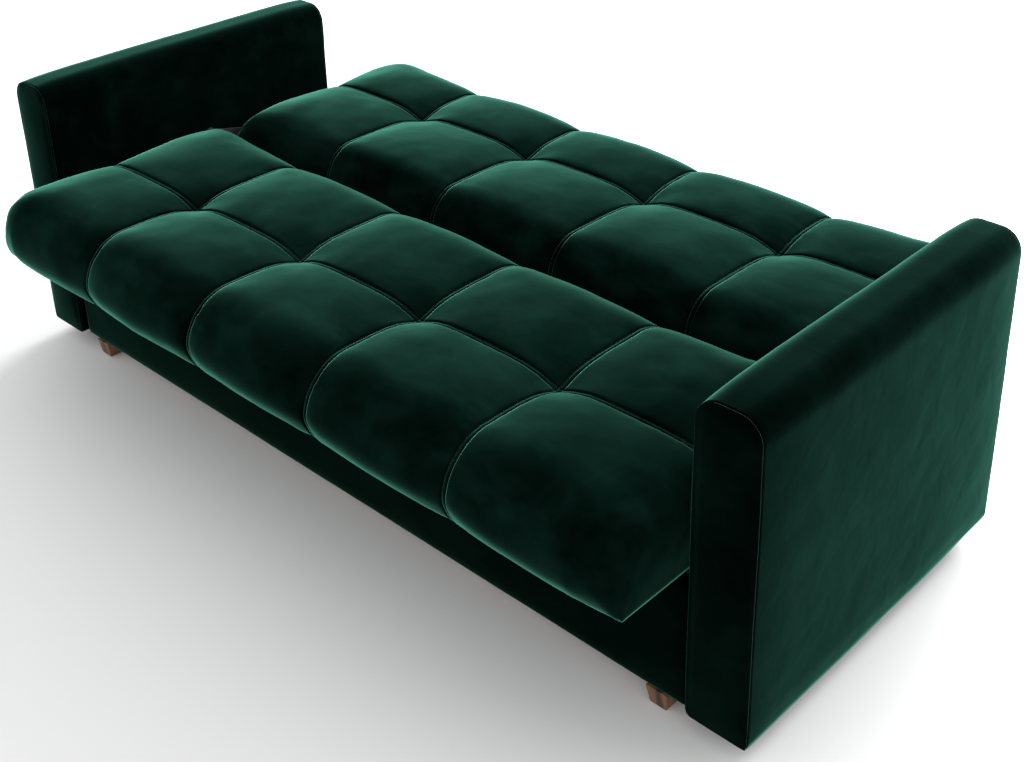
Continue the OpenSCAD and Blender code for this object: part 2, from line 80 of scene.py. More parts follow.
SEAT_TUFT = -0.340  # where the seat mat's cross seam runs
BACK_TUFT = 0.378  # the same on the back mat
LOW_EDGE = 0.004  # rounding of a mat's lower edges
END_RADIUS = 0.062  # radius of the upper edges at the mats' ends
CORNER_RISE = 0.7  # share of the height over which the corners widen to their full radius
EDGE_EASE = 0.22  # how far in from the end END_EDGE gives way to the edge's own radius
SWELL_EASE = 0.10  # how gently END_SWELL starts beside the hinge plates
SWELL_FROM = 0.8  # share of the half length where END_SWELL starts
FURROW_WIDTH = 0.0013  # of the furrow that each row of stitches lies in
FURROW_DEPTH = 0.0040
PUCKER = 0.0011  # height of the small puckers beside the seams
PUCKER_FADE = 0.018  # how far from a seam they reach
MAT_WAVES = ((9, 5, 0.0016), (22, 8, 0.0006))  # scale, seed and height of the unevenness
ARM_LONG_WAVES = ((4.5, 11, 0.0016),)  # the same on the arms, drawn out across them
ARM_SHORT_WAVES = ((14, 13, 0.0005),)
SOFT_AWAY = 0.05  # how far from a seam the panels' unevenness has its full height
ROW_RISE = 0.56  # share of a row over which its crown rises from the cross seam
END_RISE = 0.20  # how far from the end the outer panels have their full crown
END_LEAST = 0.42  # share of the width that their crown's shape keeps at the end
TOP_FADE = 0.05  # how far below the top the upper crown gives way to the side's
END_FADE = 0.15  # how far from the end the crown starts to shrink
SIDE_FADE = 0.14  # the same from the long sides
HEM_FADE = 0.05  # how far above the hem the side's crown is full
LINING_IN = 0.004  # the cloth laps over the lining's edge by this
LINING_UP = 0.001  # how far above the lining the underside lies

STITCH = 0.0034  # length of one stitch
STITCH_GAP = 0.0012
STITCH_R = 0.00045
STITCH_SIDES = 6
STITCH_RINGS = ((0.0, 0.35), (0.18, 1.0), (0.82, 1.0), (1.0, 0.35))  # place along it, thickness
STITCH_UP = 0.0006  # how far a stitch's middle stands over the furrow
ARM_STITCH_UP = 0.0005  # the same on the arms

ARM_SHOULDER = 0.046  # radius of the arms' upper long edges
ARM_LOW_IN = 0.012  # radius of the lower edge towards the mats
ARM_LOW_OUT = 0.005  # radius of the outer lower edge
ARM_EDGE = 0.006  # rounding of the front and rear edges
ARM_PINCH = 0.0015  # how far the cover is drawn in at its seams
PINCH_REACH = 0.055  # how far from the end that fades out
ARM_SWELL = 0.004  # how far the padding stands out over the arm's sides and top
SWELL_REACH = 0.05  # how far from a seam, and from the floor side, the padding is full
ARM_SEAM = 0.009  # from the front face back to the seam
ARM_FURROW = 0.0022  # depth of the furrow that the seam lies in
ARM_FURROW_WIDTH = 0.0012
CAP_BACK = 0.0048  # the end panels' rims lie this far behind the CAD arm's face
CAP_CROWN = 0.0060  # and their middles this far in front of the rims
LOW_SHRINK = 0.3  # share of the rounding that lifts the arm's lower face
MAT_CLEAR = 0.0022  # beside the mats the cover lies this far inside the CAD arm
MAT_CLEAR_BELOW = 0.10  # from the arm's top down to where that starts
MAT_CLEAR_Y = -0.25  # and from here to the rear

BOARD_SHOWS = 0.0015  # the boards' inner faces stand out of the base covers by this
BASE_SOFT = 0.0009  # unevenness of the base covers
FOOT_FLOOR = 0.019  # half the width of a foot at the floor
FOOT_BEVEL = 0.0022

TOP_GRID = 0.008  # spacing of the mats' final mesh
BESIDE_SEAM = (-0.0026, -0.0014, 0, 0.0012, 0.0024, 0.0044, 0.0076, 0.012, 0.018)  # closer lines there
ARM_GRID = (0.009, 0.016, 0.012)
ARM_BESIDE_SEAM = (0.0, 0.0011, 0.0025, 0.005, 0.011)
BASE_GRID = (0.016, 0.004, 0.012)
BASE_BESIDE_ENDS = (0.002, 0.005, 0.009, 0.014)
BASE_BESIDE_EDGES = (0.002, 0.005, 0.009)
CLOTH_GRID = 0.0125  # spacing of the simulated mesh
CLOTH_FRAMES = 16
CLOTH_CAP = 0.005  # the simulation may move a point this far
HEM_HELD = 0.012  # cloth this close to the hem is held
CLOTH_SETTINGS = {
    "quality": 5,
    "mass": 0.3,
    "tension_stiffness": 15,
    "compression_stiffness": 15,
    "shear_stiffness": 8,
    "bending_stiffness": 4.0,
    "shrink_min": 0.004,
    "use_pressure": True,
    "uniform_pressure_force": 2.5,
    "pin_stiffness": 20,
}

EPS = 1e-6
FLOOR_HALF = 30.0

# --- Light and camera ---

SKY = 1.04  # strength of the white surroundings
CAMERA_AT = (2.157, -2.041, 2.000)
CAMERA_TURN = (0.7389, -0.4367, -0.0089)  # pan, tilt and roll, in radians
CAMERA_LENS = 51.557  # millimetres
CAMERA_SHIFT = (-0.05566, -0.19629)


# --- Meshes ---


def lines(lo, hi, step, marks=(), offsets=()):
    """Grid lines from lo to hi, about step apart, with closer ones beside each mark."""
    close = sorted({m + s * o for m in marks for o in offsets for s in (-1, 1)})
    close = [c for c in close if lo < c < hi]
    plain = np.linspace(lo, hi, max(2, round((hi - lo) / step) + 1))
    keep = [p for p in plain if all(abs(p - c) > 0.45 * step for c in close)]
    ends = {lo, hi}
    return np.array(sorted(ends | set(keep) | set(close)))


def box_grid(xs, ys, zs):
    """The points and quads of a box's surface, cut along the given lines."""
    shape = (len(xs), len(ys), len(zs))
    i, j, k = np.indices(shape)
    outer = (
        (i == 0) | (i == shape[0] - 1) | (j == 0) | (j == shape[1] - 1) | (k == 0) | (k == shape[2] - 1)
    )
    index = np.full(shape, -1)
    index[outer] = np.arange(outer.sum())
    points = np.stack([xs[i[outer]], ys[j[outer]], zs[k[outer]]], 1)
    quads = []
    for sheet, flip in (
        (index[0], True),
        (index[-1], False),
        (index[:, 0], False),
        (index[:, -1], True),
        (index[:, :, 0], True),
        (index[:, :, -1], False),
    ):
        a, b, c, d = sheet[:-1, :-1], sheet[1:, :-1], sheet[1:, 1:], sheet[:-1, 1:]
        q = np.stack([a, b, c, d], -1).reshape(-1, 4)
        quads.append(q[:, ::-1] if flip else q)
    return points, np.concatenate(quads)


def new_mesh(name, points, faces, material=None, smooth=True):
    """A mesh object in the scene."""
    mesh = bpy.data.meshes.new(name)
    mesh.from_pydata(points.tolist(), [], faces.tolist() if hasattr(faces, "tolist") else faces)
    mesh.update()
    if smooth:
        mesh.shade_smooth()
    obj = bpy.data.objects.new(name, mesh)
    bpy.context.scene.collection.objects.link(obj)
    if material:
        mesh.materials.append(material)
    return obj


def normals_of(points, quads):
    """Area-weighted point normals of a quad mesh."""
    a, b, c, d = (points[quads[:, n]] for n in range(4))
    face = np.cross(c - a, d - b)
    out = np.zeros_like(points)
    for n in range(4):
        np.add.at(out, quads[:, n], face)
    return out / np.maximum(np.linalg.norm(out, axis=1, keepdims=True), 1e-12)


def round_pair(a, b, radius):
    """Turns the square corner of a box edge into a quarter round.
    a and b run from 0 at the start of the rounding to 1 at the box's faces."""
    inside = np.maximum(a, b)
    length = np.maximum(np.hypot(a, b), 1e-12)
    both = (a > 0) & (b > 0)
    scale = np.where(both, inside / length, 1.0)
    return a * scale * radius, b * scale * radius


def eased(t):
    """A smooth step from 0 to 1."""
    t = np.clip(t, 0, 1)
    return t * t * (3 - 2 * t)


def smooth_noise(points, scale, seed):
    """Soft noise from -1 to 1 at each point."""
    shift = Vector((seed * 7.1, seed * 3.7, seed * 5.3))
    return np.array([noise.noise(Vector(p) * scale + shift) for p in points])


def uneven(points, waves):
    """Soft unevenness: noises of the given scales, seeds and heights, added up."""
    return sum(smooth_noise(points, scale, seed) * height for scale, seed, height in waves)


# --- Mats ---


class Mat:
    """One tufted mat: a box rounded to a mat's outline, cut by seams into crowned panels."""

    def __init__(self, name, node, body, tuft_y, radii, lows, crowns):
        """radii: of the front, rear and end upper edges. lows: of the front and rear lower edges.
        crowns: how far the front and rear panels stand out."""
        self.name = name
        self.node = node
        self.body = body
        lo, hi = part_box(node)
        self.tuft_y = tuft_y
        self.r_front, self.r_rear, self.r_end = radii
        self.low_front, self.low_rear = lows
        self.crown_front, self.crown_rear = crowns
        self.outer_side = -1.0 if self.crown_front > self.crown_rear else 1.0
        self.half = hi.x - END_IN
        self.y0 = lo.y + self.crown_front
        self.y1 = hi.y - self.crown_rear
        self.z0 = lo.z
        self.z1 = hi.z - SEAM_DROP
        self.seams = [(n - (COLUMNS - 2) / 2) * SEAM_STEP for n in range(COLUMNS - 1)]
        self.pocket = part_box(node.replace("cushion", "lining"))

    def grid(self, step, offsets):
        """The box's surface, cut along the seams and along lines beside them."""
        xs = lines(-self.half, self.half, step, self.seams, offsets)
        ys = lines(self.y0, self.y1, step, [self.tuft_y], offsets)
        zs = lines(self.z0, self.z1, step)
        return box_grid(xs, ys, zs)

    def plan(self, p):
        """x and y of each point, with the corners seen from above rounded and the ends swollen."""
        x, y, z = p.T.copy()
        rise = np.clip((z - self.z0) / (CORNER_RISE * (self.z1 - self.z0)), 0, 1)
        on_outer = (y < (self.y0 + self.y1) / 2) == (self.outer_side < 0)
        outer_corner = TOP_CORNER if self.outer_side < 0 else REAR_CORNER
        top_corner = np.where(on_outer, outer_corner, INNER_CORNER)
        plan_r = HEM_CORNER + (top_corner - HEM_CORNER) * rise
        cx = np.sign(x) * (self.half - plan_r)
        cy = np.where(y < (self.y0 + self.y1) / 2, self.y0 + plan_r, self.y1 - plan_r)
        sy = np.where(y < (self.y0 + self.y1) / 2, -1.0, 1.0)
        ax = (x - cx) * np.sign(x) / plan_r
        ay = (y - cy) * sy / plan_r
        nx, ny = round_pair(np.maximum(ax, 0), np.maximum(ay, 0), plan_r)
        corner = (ax > 0) & (ay > 0)
        x1 = np.where(corner, cx + np.sign(x) * nx, x)
        y1 = np.where(corner, cy + sy * ny, y)
        wide = eased((np.abs(y) - PLATES_REACH) / SWELL_EASE)
        outward = np.clip((np.abs(x) / self.half - SWELL_FROM) / (1 - SWELL_FROM), 0, 1)
        x1 = x1 + np.sign(x) * END_SWELL * wide * outward**2
        return x1, y1

    def base(self, p):
        """The seams' own surface: the box with its corners and edges rounded."""
        x, y, z = p.T
        x1, y1 = self.plan(p)
        # how near each point is to the ends and the long sides, 0 inside to 1 at the side
        inside = eased((self.half - np.abs(x)) / EDGE_EASE)
        r_front = END_EDGE + (self.r_front - END_EDGE) * inside
        r_rear = END_EDGE + (self.r_rear - END_EDGE) * inside
        t_end = np.maximum(0, 1 - (self.half - np.abs(x)) / self.r_end)
        t_front = np.maximum(0, 1 - (y - self.y0) / r_front)
        t_rear = np.maximum(0, 1 - (self.y1 - y) / r_rear)
        t_side = np.maximum(t_front, t_rear)
        t = np.maximum(t_end, t_side)
        total = np.maximum(t_end**3 + t_side**3, 1e-9)
        w_end = t_end**3 / total
        w_side = t_side**3 / total
        r_side = np.where(t_front > t_rear, r_front, r_rear)
        radius = w_end * self.r_end + w_side * r_side
        radius = np.where(total > 1e-8, radius, self.r_end)
        side = np.where(t_front > t_rear, -1.0, 1.0)
        # upper edge
        b = np.maximum(0, (z - (self.z1 - radius)) / radius)
        out, up = round_pair(t, b, radius)
        pull = t * radius - np.where((t > 0) & (b > 0), out, t * radius)
        z1 = np.where((t > 0) & (b > 0), self.z1 - radius + up, z)
        # lower edge: small, except where a mat has a round lower edge too
        low_side = np.where(t_front > t_rear, self.low_front, self.low_rear)
        low = np.maximum(w_end * LOW_EDGE + w_side * low_side, LOW_EDGE)
        t_low = np.maximum(0, 1 - (1 - t) * radius / low)
        c = np.maximum(0, (self.z0 + low - z) / low)
        out_low, down = round_pair(t_low, c, low)
        both = (t_low > 0) & (c > 0)
        pull = pull + np.where(both, t_low * low - out_low, 0)
        z1 = np.where(both, self.z0 + low - down, z1)
        # the hem is drawn in under the long outer side
        share = np.clip((self.z0 + TUCK_REACH - z1) / TUCK_REACH, 0, 1) ** 2
        outer = np.where(side < 0, self.low_front, self.low_rear) < HINGE_ROUND
        outer = outer & (side == self.outer_side)
        tuck = (HEM_TUCK if self.outer_side < 0 else REAR_TUCK) * share * outer * t_side**2
        z1 = z1 - self.end_drop(p) * np.clip((z1 - self.z0) / (self.z1 - self.z0), 0, 1)
        return np.stack(
            [x1 - np.sign(x) * pull * w_end, y1 - side * (pull * w_side + tuck), z1], 1
        )

    def end_drop(self, p):
        """How far the top sinks near the ends: at the cross seam and at the corners."""
        x, y, _ = p.T
        near = np.clip(1 - (self.half - np.abs(x)) / DROP_REACH, 0, 1) ** 2
        row = np.where(y < self.tuft_y, self.tuft_y - self.y0, self.y1 - self.tuft_y)
        along = np.clip(np.abs(y - self.tuft_y) / row, 0, 1)
        dip = END_DIP * np.clip(1 - along / 0.5, 0, 1) ** 1.5
        front = (self.outer_side < 0) & (y < self.tuft_y)
        corner = np.where(front, FRONT_DROP, CORNER_DROP) * np.clip((along - 0.5) / 0.5, 0, 1) ** 2
        return near * (dip + corner)

    def seam_distances(self, p):
        """Distance to the nearest column seam and to the cross seam, across the surface."""
        x, y, _ = p.T
        u = np.min([np.abs(x - s) for s in self.seams], axis=0)
        v = np.abs(y - self.tuft_y)
        return u, v

    def crown(self, p):
        """How far the fabric stands over the seams' surface, and how far it is drawn in, at each point."""
        x, y, z = p.T
        u, v = self.seam_distances(p)
        u0 = np.maximum(u - BAND, 0)
        v0 = np.maximum(v - BAND, 0)
        half_panel = SEAM_STEP / 2
        row = np.where(y < self.tuft_y, self.tuft_y - self.y0, self.y1 - self.tuft_y)
        end_gap = (self.half - np.abs(x)) / END_RISE
        outer = np.abs(x) > self.seams[-1]
        across = np.where(outer, np.minimum(u0 / half_panel, END_LEAST + end_gap), u0 / half_panel)
        along = np.minimum(v0 / (row * ROW_RISE), 1)
        f = np.sqrt(np.clip(1 - (1 - np.clip(across, 0, 1)) ** 2, 0, 1))
        g = np.sqrt(np.clip(1 - (1 - along) ** 2, 0, 1))
        on_top = np.clip((z - (self.z1 - TOP_FADE)) / TOP_FADE, 0, 1)
        near_end = 1 - (self.half - np.abs(x)) / END_FADE
        near_front = 1 - (y - self.y0) / SIDE_FADE
        near_rear = 1 - (self.y1 - y) / SIDE_FADE
        size = np.full(len(p), CROWN_TOP)
        for near, value in (
            (near_end, CROWN_END),
            (near_front, self.crown_front),
            (near_rear, self.crown_rear),
        ):
            ease = eased(near)
            size = size * (1 - ease) + np.minimum(size, value) * ease
        on_side = np.clip((z - self.z0) / HEM_FADE, 0, 1) ** 0.6
        size = size * (on_top + (1 - on_top) * on_side)
        rho = np.hypot(u, v)
        dip = TUFT_DIP * np.exp(-((rho / TUFT_REACH) ** 1.5)) * (z > self.z1 - 0.001)
        under = z <= self.z0 + EPS
        return np.where(under, 0, size * f * g), np.where(under, 0, dip)

    def grooves(self, p):
        """The two stitch lines of each seam as narrow furrows, with the band between them."""
        u, v = self.seam_distances(p)
        depth = np.zeros(len(p))
        for d in (u, v):
            furrow = np.exp(-(((d - BAND) / FURROW_WIDTH) ** 2))
            depth = np.maximum(depth, FURROW_DEPTH * furrow)
        return np.where(p[:, 2] <= self.z0 + EPS, 0, depth)

    def surface(self, p, quads):
        """The shape before the cloth simulation."""
        base = self.base(p)
        n = normals_of(base, quads)
        up, dip = self.crown(p)
        return base + n * (up - dip)[:, None]

    def simulate(self):
        """Runs the padded fabric as cloth, held at its seams and hem. Returns how each grid point moves."""
        p, quads = self.grid(CLOTH_GRID, (0.0,))
        start = self.surface(p, quads)
        obj = new_mesh(self.name + ".cloth", start, quads)
        u, v = self.seam_distances(p)
        held = (np.minimum(u, v) < 1e-4) | (p[:, 2] <= self.z0 + HEM_HELD)
        group = obj.vertex_groups.new(name="held")
        group.add(np.flatnonzero(held).tolist(), 1.0, "REPLACE")
        cloth = obj.modifiers.new("cloth", "CLOTH")
        for key, value in CLOTH_SETTINGS.items():
            setattr(cloth.settings, key, value)
        cloth.settings.effector_weights.gravity = 0
        cloth.settings.vertex_group_mass = "held"
        cloth.collision_settings.use_collision = False
        cloth.point_cache.frame_start = 1
        cloth.point_cache.frame_end = CLOTH_FRAMES
        scene = bpy.context.scene
        for f in range(1, CLOTH_FRAMES + 1):
            scene.frame_set(f)
        done = obj.evaluated_get(bpy.context.evaluated_depsgraph_get())
        end = np.array([q.co for q in done.data.vertices])
        move = end - start
        length = np.linalg.norm(move, axis=1, keepdims=True)
        move *= np.minimum(1, CLOTH_CAP / np.maximum(length, 1e-9))
        scene.frame_set(1)
        bpy.data.objects.remove(obj)
        return p, move

    def spread_moves(self, moves, p):
        """The simulation's moves, taken from its own grid to the points p."""
        coarse, move = moves
        axes = [np.unique(np.round(coarse[:, n], 6)) for n in range(3)]
        volume = np.zeros([len(a) for a in axes] + [3])
        at = [np.searchsorted(axes[n], coarse[:, n] - 1e-5) for n in range(3)]
        volume[at[0], at[1], at[2]] = move
        low = []
        share = []
        for n in range(3):
            i = np.searchsorted(axes[n], p[:, n] + 1e-7) - 1
            i = np.clip(i, 0, len(axes[n]) - 2)
            width = axes[n][i + 1] - axes[n][i]
            low.append(i)
            share.append(np.clip((p[:, n] - axes[n][i]) / width, 0, 1))
        out = np.zeros_like(p)
        for di in (0, 1):
            for dj in (0, 1):
                for dk in (0, 1):
                    w = np.ones(len(p))
                    for n, step in enumerate((di, dj, dk)):
                        w = w * (share[n] if step else 1 - share[n])
                    out += w[:, None] * volume[low[0] + di, low[1] + dj, low[2] + dk]
        return out

    def build(self, material, thread):
        """Makes the mat's cover and its stitches."""
        fine = [0.0] + [BAND + d for d in BESIDE_SEAM]
        p, quads = self.grid(TOP_GRID, fine)
        shape = self.surface(p, quads)
        shape = shape + self.spread_moves(self.simulate(), p)
        n = normals_of(shape, quads)
        u, v = self.seam_distances(p)
        near = np.minimum(u, v)
        pucker = smooth_noise(p * np.array([1, 1, 0.4]), 55, 3) * np.exp(-near / PUCKER_FADE)
        soft = uneven(p, MAT_WAVES)
        upper = p[:, 2] > self.z0 + EPS
        lift = (PUCKER * pucker + soft * np.clip(near / SOFT_AWAY, 0, 1)) * upper - self.grooves(p)
        shape = shape + n * lift[:, None]
        shape = self.under(shape, p)
        obj = new_mesh(self.name, shape, quads, material)
        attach(obj, self.body)
        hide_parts(self.node)
        self.stitches(shape, p, quads, thread)
        return obj

    def under(self, shape, p):
        """The underside steps up inside the lining, so that the lining shows."""
        lo, hi = self.pocket
        inside = (
            (p[:, 2] <= self.z0 + EPS)
            & (np.abs(p[:, 0]) < hi.x - LINING_IN)
            & (p[:, 1] > lo.y + LINING_IN)
            & (p[:, 1] < hi.y - LINING_IN)
        )
        shape[inside, 2] = hi.z + LINING_UP
        return shape

    def stitches(self, shape, p, quads, thread):
        """Short thread stitches in every furrow."""
        runs = []
        n = normals_of(shape, quads)
        on = p[:, 2] > self.z0 + EPS
        for s in self.seams:
            for side in (-BAND, BAND):
                runs.append((on & (np.abs(p[:, 0] - s - side) < 1e-5), 1))
        for side in (-BAND, BAND):
            runs.append((on & (np.abs(p[:, 1] - self.tuft_y - side) < 1e-5), 0))
        points = []
        faces = []
        for chosen, axis in runs:
            ids = np.flatnonzero(chosen)
            ids = ids[np.argsort(self.path_order(p[ids], axis))]
            add_stitches(shape[ids] + n[ids] * STITCH_UP, n[ids], points, faces)
        obj = new_mesh(self.name + "_stitching", np.concatenate(points), faces, thread)
        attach(obj, self.body)

    def path_order(self, p, axis):
        """How far along its seam each point is, from one lower edge over the top to the other."""
        middle = np.array([0.0, (self.y0 + self.y1) / 2])[axis]
        reach = (self.half, (self.y1 - self.y0) / 2)[axis]
        along = p[:, axis] - middle
        at_end = np.abs(np.abs(along) - reach) < EPS
        return np.where(at_end, np.sign(along) * (reach + self.z1 - p[:, 2]), along)


def add_stitches(path, n, points, faces):
    """Adds a row of small six-sided stitches along a path."""
    step = np.linalg.norm(np.diff(path, axis=0), axis=1)
    s = np.concatenate([[0], np.cumsum(step)])
    count = int(s[-1] / (STITCH + STITCH_GAP))
    if count < 2:
        return
    start = (np.arange(count) + 0.5) * s[-1] / count - STITCH / 2
    rings = []
    for share, _ in STITCH_RINGS:
        at = start + STITCH * share
        rings.append(np.stack([np.interp(at, s, path[:, k]) for k in range(3)], 1))
    up = np.stack([np.interp(start, s, n[:, k]) for k in range(3)], 1)
    up /= np.linalg.norm(up, axis=1, keepdims=True)
    along = rings[3] - rings[0]
    along /= np.linalg.norm(along, axis=1, keepdims=True)
    across = np.cross(up, along)
    base = sum(len(q) for q in points)
    sides = STITCH_SIDES
    block = []
    for ring, (_, size) in zip(rings, STITCH_RINGS):
        drop = STITCH_R * (1.0 if size < 1 else 0.0)
        for k in range(sides):
            a = 2 * math.pi * k / sides
            block.append(
                ring - up * drop + STITCH_R * size * (math.cos(a) * across + math.sin(a) * up)
            )
    block = np.stack(block, 1)
    points.append(block.reshape(-1, 3))
    per = 4 * sides
    for c in range(count):
        first = base + c * per
        for r in range(3):
            for k in range(sides):
                a = first + r * sides + k
                b = first + r * sides + (k + 1) % sides
                faces.append([a, b, b + sides, a + sides])
        faces.append([first + k for k in reversed(range(sides))])
        faces.append([first + 3 * sides + k for k in range(sides)])


# --- Arms ---


def padded_arm(name, node, body, material, thread):
    """A padded slab: a band over the sides and top, sewn to a front and a rear panel."""
    lo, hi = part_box(node)
    outer = 1.0 if hi.x > 0 else -1.0
    ys = lines(lo.y, hi.y, ARM_GRID[1], [lo.y + ARM_SEAM, hi.y - ARM_SEAM], ARM_BESIDE_SEAM)
    edge = [ARM_EDGE * (1 - math.cos(a)) for a in np.linspace(0.25, 1.4, 4)]
    ys = np.array(sorted(set(ys) | {lo.y + e for e in edge} | {hi.y - e for e in edge}))
    xs = lines(lo.x, hi.x, ARM_GRID[0])
    zs = lines(lo.z, hi.z, ARM_GRID[2])
    p, quads = box_grid(xs, ys, zs)
    x, y, z = p.T.copy()
    cx = (lo.x + hi.x) / 2
    cz = (lo.z + hi.z) / 2
    sx = np.where(x < cx, -1.0, 1.0)
    sz = np.where(z < cz, -1.0, 1.0)
    low_r = np.where(sx * outer > 0, ARM_LOW_OUT, ARM_LOW_IN)
    r = np.where(sz > 0, ARM_SHOULDER, low_r)
    side_x = np.where(sx > 0, hi.x, lo.x)
    side_z = np.where(sz > 0, hi.z, lo.z)
    a = np.maximum(0, 1 - np.abs(side_x - x) / r)
    b = np.maximum(0, 1 - np.abs(side_z - z) / r)
    ra, rb = round_pair(a, b, r)
    corner = (a > 0) & (b > 0)
    x1 = np.where(corner, side_x - sx * (r - ra), x)
    z1 = np.where(corner, side_z - sz * (r - rb), z)
    # edges of the front and rear panels
    from_end = np.minimum(y - lo.y, hi.y - y)
    to_edge = 1 - np.minimum(from_end / ARM_EDGE, 1)
    inset = ARM_EDGE * (1 - np.sqrt(np.clip(1 - to_edge**2, 0, 1)))
    # padding: flat over most of each face, drawn in towards the seams
    pinch = ARM_PINCH * np.exp(-((from_end / PINCH_REACH) ** 1.2))
    furrow = ARM_FURROW * np.exp(-(((from_end - ARM_SEAM) / ARM_FURROW_WIDTH) ** 2))
    shrink = inset + pinch + furrow
    span_x = (hi.x - lo.x) / 2
    span_z = (hi.z - lo.z) / 2
    on_cap = from_end < EPS
    scale_x = 1 - shrink / span_x
    scale_z = 1 - shrink * np.where(z1 < cz, LOW_SHRINK, 1.0) / span_z
    x2 = cx + (x1 - cx) * scale_x
    z2 = cz + (z1 - cz) * scale_z
    # the front and rear panels crown a little
    u = (x1 - cx) / span_x
    v = (z1 - cz) / span_z
    crown = CAP_CROWN * np.clip(1 - u**2, 0, 1) ** 0.6 * np.clip(1 - v**8, 0, 1)
    into = np.where(y < 0, 1, -1)
    y2 = np.where(on_cap, y + into * (CAP_BACK - crown), y)
    near_cap = (from_end < ARM_EDGE) & ~on_cap
    y2 = np.where(near_cap, y2 + into * CAP_BACK * (1 - from_end / ARM_EDGE), y2)
    shape = np.stack([x2, y2, z2], 1)
    n = normals_of(shape, quads)
    soft = uneven(p * np.array([0.4, 1, 1]), ARM_LONG_WAVES) + uneven(p, ARM_SHORT_WAVES)
    swell = ARM_SWELL * (1 - np.exp(-((from_end / SWELL_REACH) ** 1.2)))
    swell = swell * np.clip((z - lo.z) / SWELL_REACH, 0, 1)
    beside_mats = (sx * outer < 0) * np.clip((hi.z - MAT_CLEAR_BELOW - z) / 0.06, 0, 1)
    beside_mats = beside_mats * np.clip((y - MAT_CLEAR_Y) / 0.12, 0, 1)
    swell = swell * (1 - beside_mats) - MAT_CLEAR * beside_mats
    shape = shape + n * (soft + np.where(on_cap, 0, swell))[:, None]
    obj = new_mesh(name, shape, quads, material)
    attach(obj, body)
    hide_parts(node)
    points = []
    faces = []
    n = normals_of(shape, quads)
    for at in (lo.y + ARM_SEAM, hi.y - ARM_SEAM):
        ring = np.flatnonzero((np.abs(y - at) < EPS) & (z > lo.z + EPS))
        angle = np.arctan2(x[ring] - cx, -(z[ring] - cz))
        angle = np.where(angle < 0, angle + 2 * math.pi, angle)
        ring = ring[np.argsort(angle)]
        add_stitches(shape[ring] + n[ring] * ARM_STITCH_UP, n[ring], points, faces)
    row = new_mesh(name + "_stitching", np.concatenate(points), faces, thread)
    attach(row, body)
    return obj


# --- Base covers ---


def padded_panel(name, node, body, material, radius, crown):
    """A thin padded panel with rounded edges and a slightly crowned face, open to the board behind it."""
    lo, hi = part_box(node)
    if lo.y < 0:
        hi.y -= BOARD_SHOWS
    else:
        lo.y += BOARD_SHOWS
    depth = hi.y - lo.y
    radius = min(radius, depth * 0.9)
    xs = lines(lo.x, hi.x, BASE_GRID[0], [lo.x, hi.x], BASE_BESIDE_ENDS)
    zs = lines(lo.z, hi.z, BASE_GRID[2], [lo.z, hi.z], BASE_BESIDE_EDGES)
    ys = lines(lo.y, hi.y, BASE_GRID[1])
    p, quads = box_grid(xs, ys, zs)
    x, y, z = p.T.copy()
    front = lo.y if lo.y < 0 else hi.y
    into = 1.0 if lo.y < 0 else -1.0
    a = np.maximum(0, 1 - np.minimum(x - lo.x, hi.x - x) / radius)
    c = np.maximum(0, 1 - np.minimum(z - lo.z, hi.z - z) / radius)
    b = np.maximum(0, 1 - np.abs(y - front) / radius)
    sx = np.where(x < 0, -1.0, 1.0)
    sz = np.where(z < (lo.z + hi.z) / 2, -1.0, 1.0)
    length = np.maximum(np.sqrt(a**2 + b**2 + c**2), 1e-9)
    top = np.maximum(np.maximum(a, b), c)
    several = ((a > 0).astype(int) + (b > 0) + (c > 0)) > 1
    k = np.where(several, top / length, 1.0)
    x = x - sx * (a - a * k) * radius
    y = y + into * (b - b * k) * radius
    z = z - sz * (c - c * k) * radius
    u = (x - (lo.x + hi.x) / 2) / ((hi.x - lo.x) / 2)
    v = (z - (lo.z + hi.z) / 2) / ((hi.z - lo.z) / 2)
    drawn = crown * (1 - np.clip(1 - u**12, 0, 1) * np.clip(1 - v**6, 0, 1))
    on_front = np.clip(1 - np.abs(y - front) / radius, 0, 1)
    y = y + into * drawn * on_front
    shape = np.stack([x, y, z], 1)
    n = normals_of(shape, quads)
    soft = BASE_SOFT * (smooth_noise(p, 5, 17) - 1) * on_front
    shape = shape + n * soft[:, None]
    obj = new_mesh(name, shape, quads, material)
    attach(obj, body)
    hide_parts(node)
    return obj


# --- Feet ---


def wooden_foot(name, node, body, material):
    """A tapered square foot with eased edges."""
    lo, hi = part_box(node)
    cx = (lo.x + hi.x) / 2
    cy = (lo.y + hi.y) / 2
    points = []
    for z, half in ((lo.z, FOOT_FLOOR), (hi.z, (hi.x - lo.x) / 2)):
        for sx, sy in ((-1, -1), (1, -1), (1, 1), (-1, 1)):
            points.append((cx + sx * half, cy + sy * half, z))
    faces = [[3, 2, 1, 0], [4, 5, 6, 7]]
    faces += [[k, (k + 1) % 4, (k + 1) % 4 + 4, k + 4] for k in range(4)]
    obj = new_mesh(name, np.array(points), faces, material, smooth=False)
    bevel = obj.modifiers.new("eased edges", "BEVEL")
    bevel.width = FOOT_BEVEL
    bevel.segments = 3
    bpy.context.view_layer.objects.active = obj
    with bpy.context.temp_override(object=obj, active_object=obj, selected_objects=[obj]):
        bpy.ops.object.modifier_apply(modifier=bevel.name)
    obj.data.shade_smooth()
    obj.data.set_sharp_from_angle(angle=math.radians(50))
    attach(obj, body)
    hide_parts(node)
    return obj


# --- Materials ---


def node_material(name):
    """A new material, its nodes and links, and its shader."""
    m = bpy.data.materials.new(name)
    m.use_nodes = True
    nodes, links = m.node_tree.nodes, m.node_tree.links
    return m, nodes, links, nodes["Principled BSDF"]


